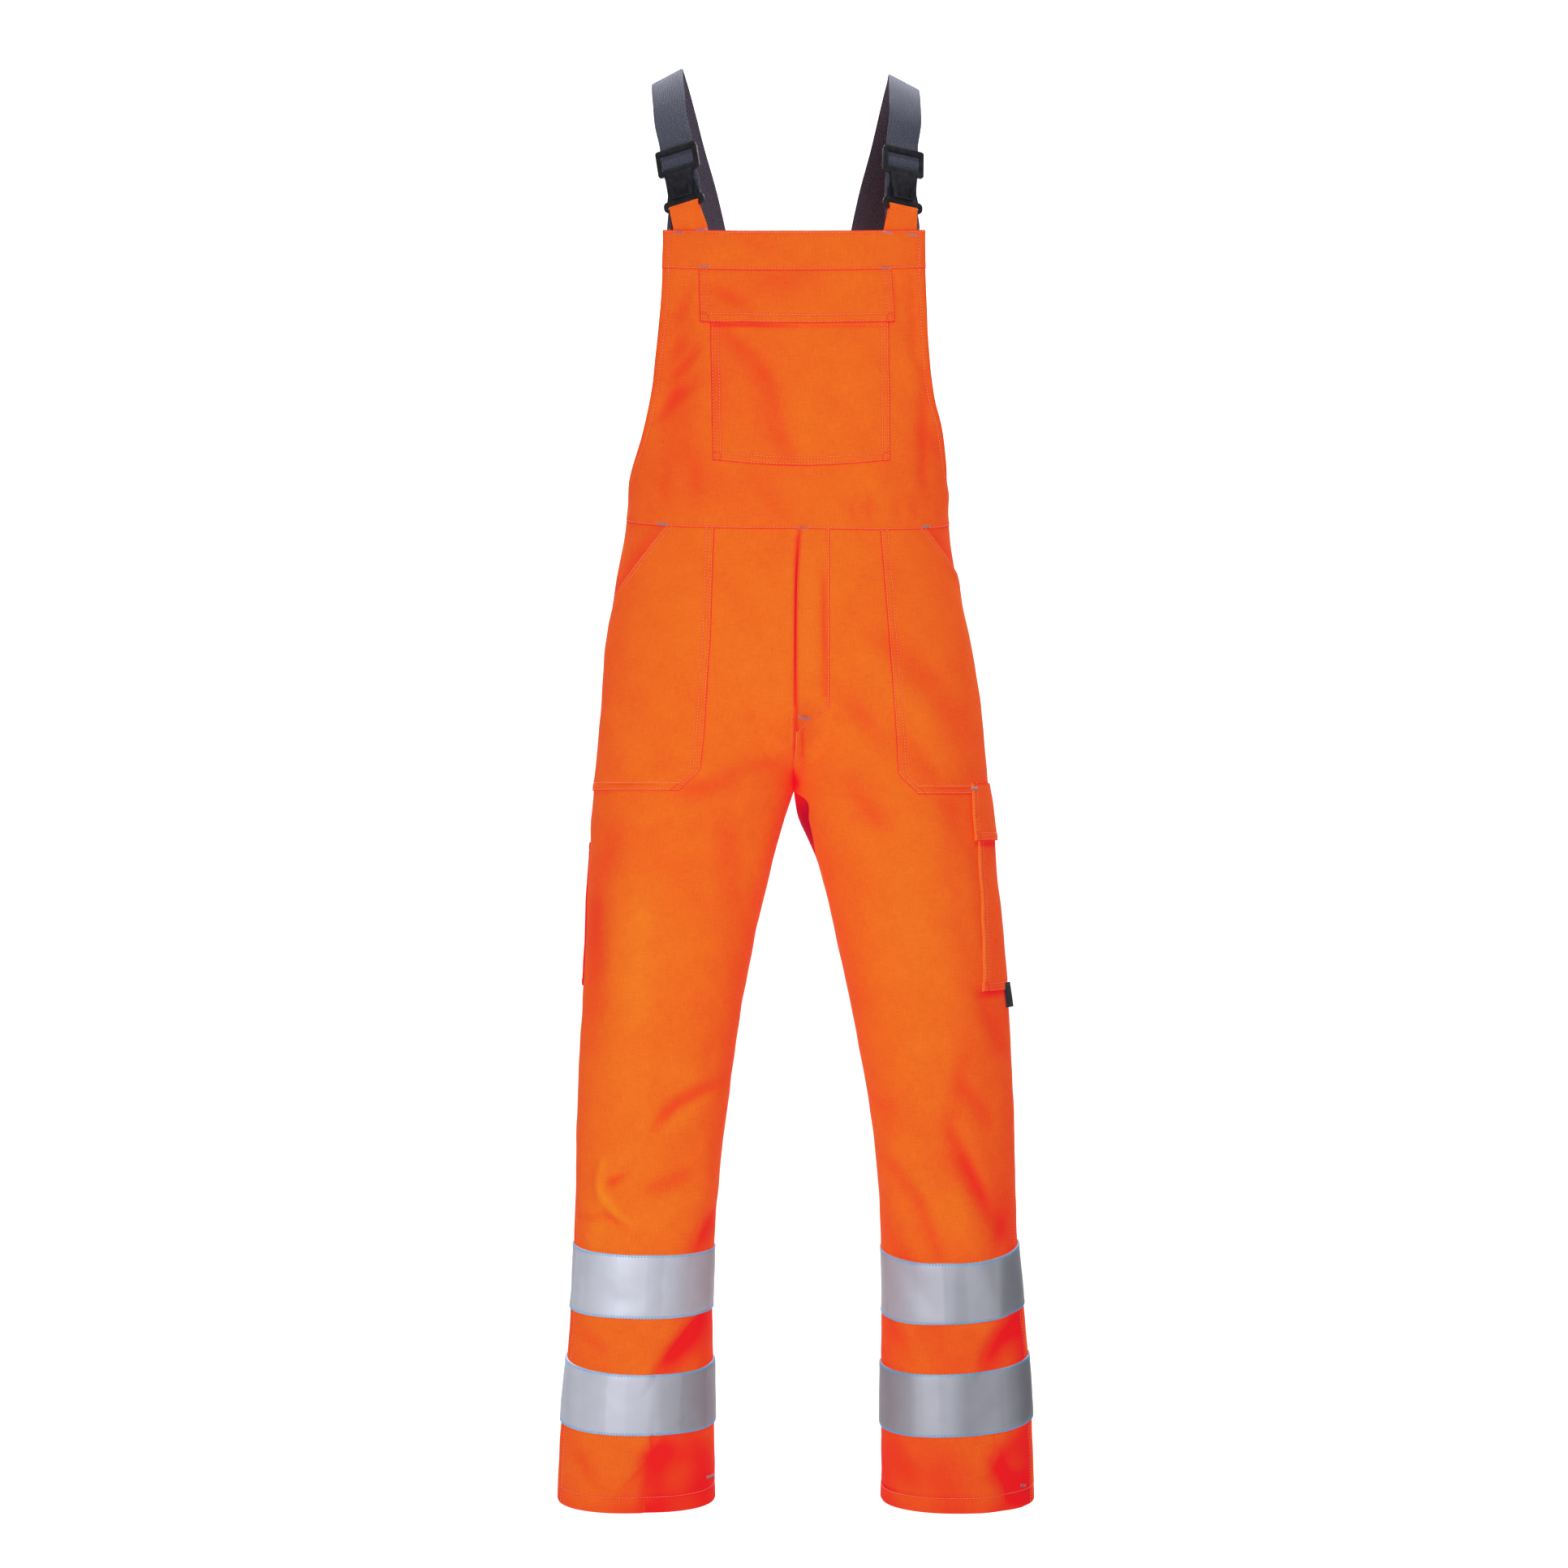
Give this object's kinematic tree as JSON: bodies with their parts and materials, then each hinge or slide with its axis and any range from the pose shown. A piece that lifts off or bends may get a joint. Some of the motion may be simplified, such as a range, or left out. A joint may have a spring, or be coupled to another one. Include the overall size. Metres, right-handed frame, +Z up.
{
  "type": "bib overalls",
  "caption": "Worn bib overalls in orange high-visibility twill, with elastic webbing straps and clip buckles, patch pockets, a fly and reflective tapes round both legs.",
  "frame": {"origin": "midway between the two shoulder straps, at the height where their undersides rest on the wearer's shoulders", "axes": "+Z up along the standing wearer, -Y out of the front of the bib, +X towards the wearer's left side"},
  "size_m": [0.5285, 0.2651, 1.5897],
  "materials": {
    "twill": "matt fine twill, fluorescent orange",
    "reflective_tape": "silver-grey retroreflective cloth tape",
    "webbing": "dark grey elastic webbing with light flecks",
    "plastic": "satin black moulded plastic",
    "label": "plain dark woven tab, no lettering"
  },
  "bodies": {
    "root": {"front_leg_right": "twill", "front_leg_left": "twill", "back_leg_right": "twill", "back_leg_left": "twill", "bib_front": "twill", "bib_band": "twill", "bib_pocket": "twill", "bib_pocket_flap": "twill", "back_panel": "twill", "back_band": "twill", "hip_pocket_right": "twill", "hip_pocket_left": "twill", "fly": "twill", "thigh_pocket": "twill", "thigh_flap": "twill", "rule_pocket": "twill", "strap_tab_right": "twill", "strap_tab_left": "twill", "label_tab": "label", "tape_upper_right": "reflective_tape", "tape_upper_left": "reflective_tape", "tape_lower_right": "reflective_tape", "tape_lower_left": "reflective_tape", "strap_right": "webbing", "strap_left": "webbing", "buckle_right": "plastic", "buckle_left": "plastic", "loop_right": "plastic", "loop_left": "plastic"}
  },
  "joints": []
}
